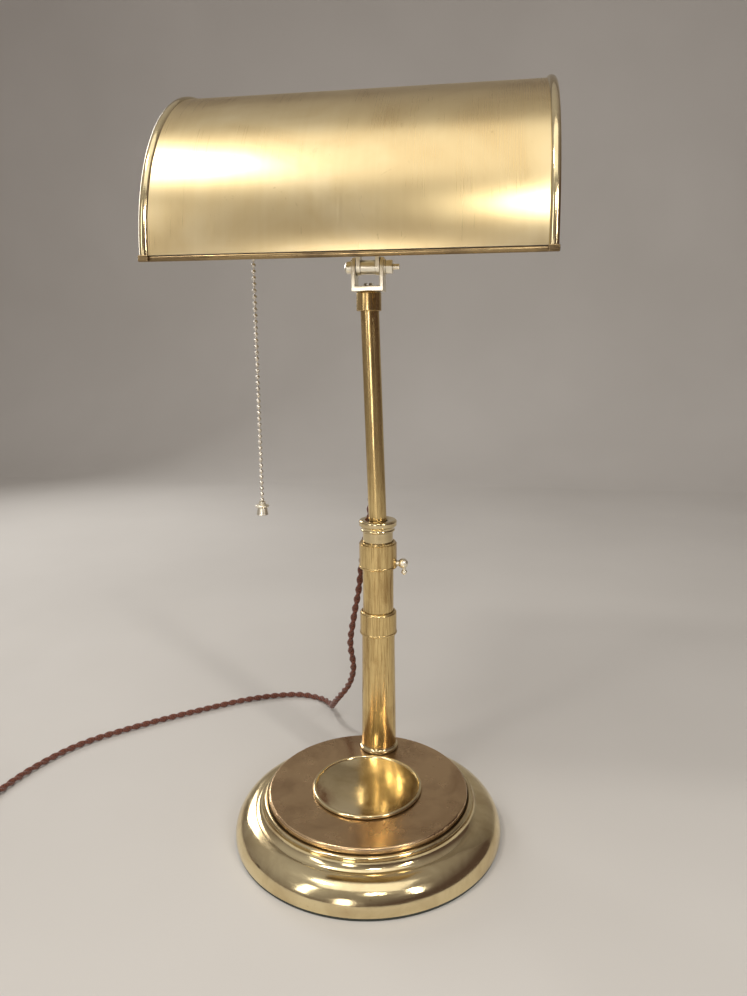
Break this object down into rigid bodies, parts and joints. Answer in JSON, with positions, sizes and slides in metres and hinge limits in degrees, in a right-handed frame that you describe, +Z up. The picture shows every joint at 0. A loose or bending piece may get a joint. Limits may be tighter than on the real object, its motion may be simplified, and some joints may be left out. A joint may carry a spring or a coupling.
{
  "type": "desk lamp",
  "caption": "Brass desk lamp: weighted round base with a pen dish, height-adjustable column, tilting half-round trough shade and pull-chain switch.",
  "frame": {"origin": "centre of the underside of the base pad", "axes": "+Z up, the front of the lamp faces -Y, +X to the right seen from the front"},
  "size_m": [0.4688, 0.2978, 0.4917],
  "materials": {
    "brass_polished": "polished",
    "brass_satin": "brushed",
    "brass_bright": "polished",
    "cast_iron": "rough",
    "felt": "matte",
    "steel": "satin",
    "nickel_chain": "polished",
    "bush_brown": "matte",
    "flex_cloth": "woven",
    "tie_cloth": "woven",
    "bakelite": "gloss",
    "bulb_clear": "clear",
    "filament_wire": "satin"
  },
  "bodies": {
    "base": {"base_pad": "felt", "base_weight": "cast_iron", "base_skirt": "brass_polished", "base_top_plate": "brass_polished", "pen_dish": "brass_polished", "dish_nut": "steel", "column_foot": "brass_polished", "column_washer": "steel", "column_nut": "steel", "lower_column": "brass_polished", "column_ring": "brass_polished", "middle_tube": "brass_polished", "upper_collar": "brass_polished", "gland_bush": "bush_brown", "column_cup": "brass_polished", "cord_tube": "flex_cloth", "cord_coil": "flex_cloth", "cord_tie": "tie_cloth", "cord_tail": "flex_cloth", "plug_body": "bakelite", "plug_pins": "brass_bright"},
    "clamp_screw": {"thumb_screw": "brass_bright"},
    "stem_slider": {"stem_stop_ring": "steel"},
    "stem": {"stem_tube": "brass_polished", "cord_grommet": "bush_brown", "stem_flex": "flex_cloth", "stem_ferrule": "brass_polished", "knuckle_fork": "brass_bright", "fork_screw": "steel", "pivot_bolt": "brass_bright", "pivot_washers": "brass_bright", "pivot_nut": "brass_bright"},
    "shade": {"shade_yoke": "brass_bright", "spacer_barrel": "brass_bright", "shade_strap": "brass_satin", "yoke_screws": "steel", "shade_shell": "brass_satin", "shade_end_left": "brass_satin", "shade_end_right": "brass_satin", "end_beads": "brass_polished", "bead_end_blocks": "brass_polished", "front_edge_roll": "brass_polished", "rear_edge_roll": "brass_polished", "holder_nipple": "brass_bright", "holder_nut": "brass_bright", "holder_cap": "brass_polished", "holder_shell": "brass_polished", "holder_ring": "brass_polished", "holder_insulator": "bakelite", "holder_contacts": "steel", "bulb_cap": "steel", "bulb_glass": "bulb_clear", "bulb_filament": "filament_wire", "switch_body": "brass_polished"},
    "pull": {"pull_rod": "steel"},
    "chain": {"pull_chain": "nickel_chain", "chain_bell": "brass_bright"}
  },
  "joints": [
    {"name": "thumb_screw_turn", "type": "hinge", "parent": "base", "child": "clamp_screw", "pos_m": [0.018, 0.052, 0.1755], "axis": [1, 0, 0], "range_deg": [-45, 270]},
    {"name": "stem_height", "type": "slide", "parent": "base", "child": "stem_slider", "axis": [-0.0314, 0, 0.9995], "range_m": [-0.022, 0.042]},
    {"name": "stem_swivel", "type": "hinge", "parent": "stem_slider", "child": "stem", "pos_m": [0, 0.052, 0.204], "axis": [-0.0314, 0, 0.9995], "range_deg": [-90, 90]},
    {"name": "shade_tilt", "type": "hinge", "parent": "stem", "child": "shade", "pos_m": [-0.0052, 0.052, 0.38], "axis": [1, 0, 0], "range_deg": [-45, 75]},
    {"name": "switch_pull", "type": "slide", "parent": "shade", "child": "pull", "axis": [0, 0, -1], "range_m": [0, 0.006], "stiffness_N_per_m": 300, "springref_m": -0.001},
    {"name": "chain_swing", "type": "hinge", "parent": "pull", "child": "chain", "pos_m": [-0.091, 0.071, 0.4025], "axis": [1, 0, 0], "range_deg": [-75, 80]}
  ]
}
